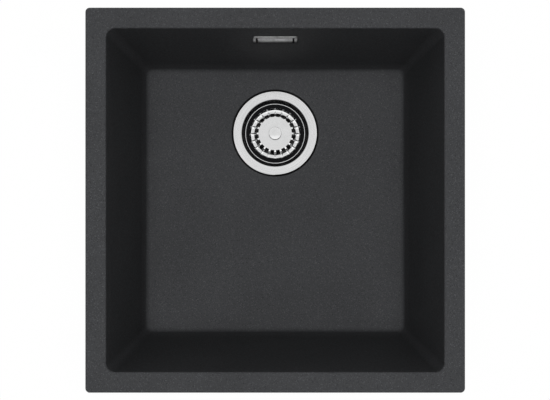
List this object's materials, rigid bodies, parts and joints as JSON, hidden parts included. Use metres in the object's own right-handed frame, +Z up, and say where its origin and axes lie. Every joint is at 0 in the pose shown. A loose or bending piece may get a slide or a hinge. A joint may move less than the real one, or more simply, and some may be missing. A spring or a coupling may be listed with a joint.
{
  "type": "undermount kitchen sink",
  "caption": "Square undermount kitchen sink: moulded composite bowl with a lift-out basket strainer, a waste body and an overflow behind the rear wall.",
  "frame": {"origin": "centre of the rim's top face, where the bowl meets the worktop's underside", "axes": "+Z up out of the bowl, +Y towards the wall with the overflow, +X to the right seen from the front"},
  "size_m": [0.422, 0.435, 0.285],
  "materials": {
    "composite": "matte",
    "flange_steel": "satin",
    "basket_steel": "polished",
    "fastener_steel": "satin",
    "rubber": "matte",
    "black_plastic": "satin",
    "hose_plastic": "satin",
    "brass": "satin"
  },
  "bodies": {
    "sink": {"sink_bowl": "composite", "rim_inserts": "brass", "waste_flange": "flange_steel", "flange_seal": "rubber", "body_seal": "rubber", "waste_body": "black_plastic", "body_nut": "brass", "stem_catch": "black_plastic", "clamp_screw": "fastener_steel", "overflow_cover": "flange_steel", "overflow_seal": "rubber", "overflow_head": "black_plastic", "overflow_washers": "fastener_steel", "overflow_nuts": "fastener_steel", "overflow_hose": "hose_plastic", "hose_clip_upper": "fastener_steel", "hose_clip_lower": "fastener_steel"},
    "stem": {"basket_stem": "fastener_steel", "stem_ring": "rubber", "basket_knob": "basket_steel"},
    "basket": {"strainer_basket": "basket_steel", "basket_seal": "rubber", "basket_inlay": "rubber"}
  },
  "joints": [
    {"name": "basket_lift", "type": "slide", "parent": "sink", "child": "stem", "axis": [0, 0, 1], "range_m": [0, 0.25]},
    {"name": "basket_spin", "type": "hinge", "parent": "stem", "child": "basket", "pos_m": [0, 0.0902, -0.20745], "axis": [0, 0, 1], "continuous": true}
  ]
}
